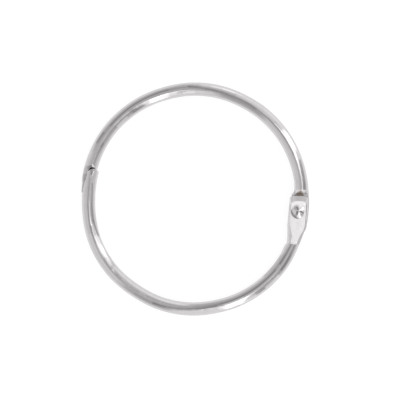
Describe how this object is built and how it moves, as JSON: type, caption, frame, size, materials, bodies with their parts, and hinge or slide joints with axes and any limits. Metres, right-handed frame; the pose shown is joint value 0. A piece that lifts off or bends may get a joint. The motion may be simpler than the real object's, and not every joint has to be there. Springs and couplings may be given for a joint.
{
  "type": "binder ring",
  "caption": "Hinged metal binder ring: bent wire halves riveted at a fork-and-tongue hinge, closing in an overlapping snap nose and lip.",
  "frame": {"origin": "centre of the loop, halfway through the wire", "axes": "+Z along the ring's axis, with the peened rivet head facing +Z; +X from the centre towards the hinge; +Y towards the half that ends in the tongue"},
  "size_m": [0.0409, 0.0418, 0.0031],
  "materials": {
    "nickel_wire": "gloss",
    "rivet_metal": "gloss"
  },
  "bodies": {
    "fork_side": {"fork_half": "nickel_wire", "hinge_rivet": "rivet_metal"},
    "tongue_side": {"tongue_half": "nickel_wire"}
  },
  "joints": [
    {"name": "ring_hinge", "type": "hinge", "parent": "fork_side", "child": "tongue_side", "pos_m": [0.01863, -0.00228, 0], "axis": [0, 0, -1], "range_deg": [0, 110]}
  ]
}
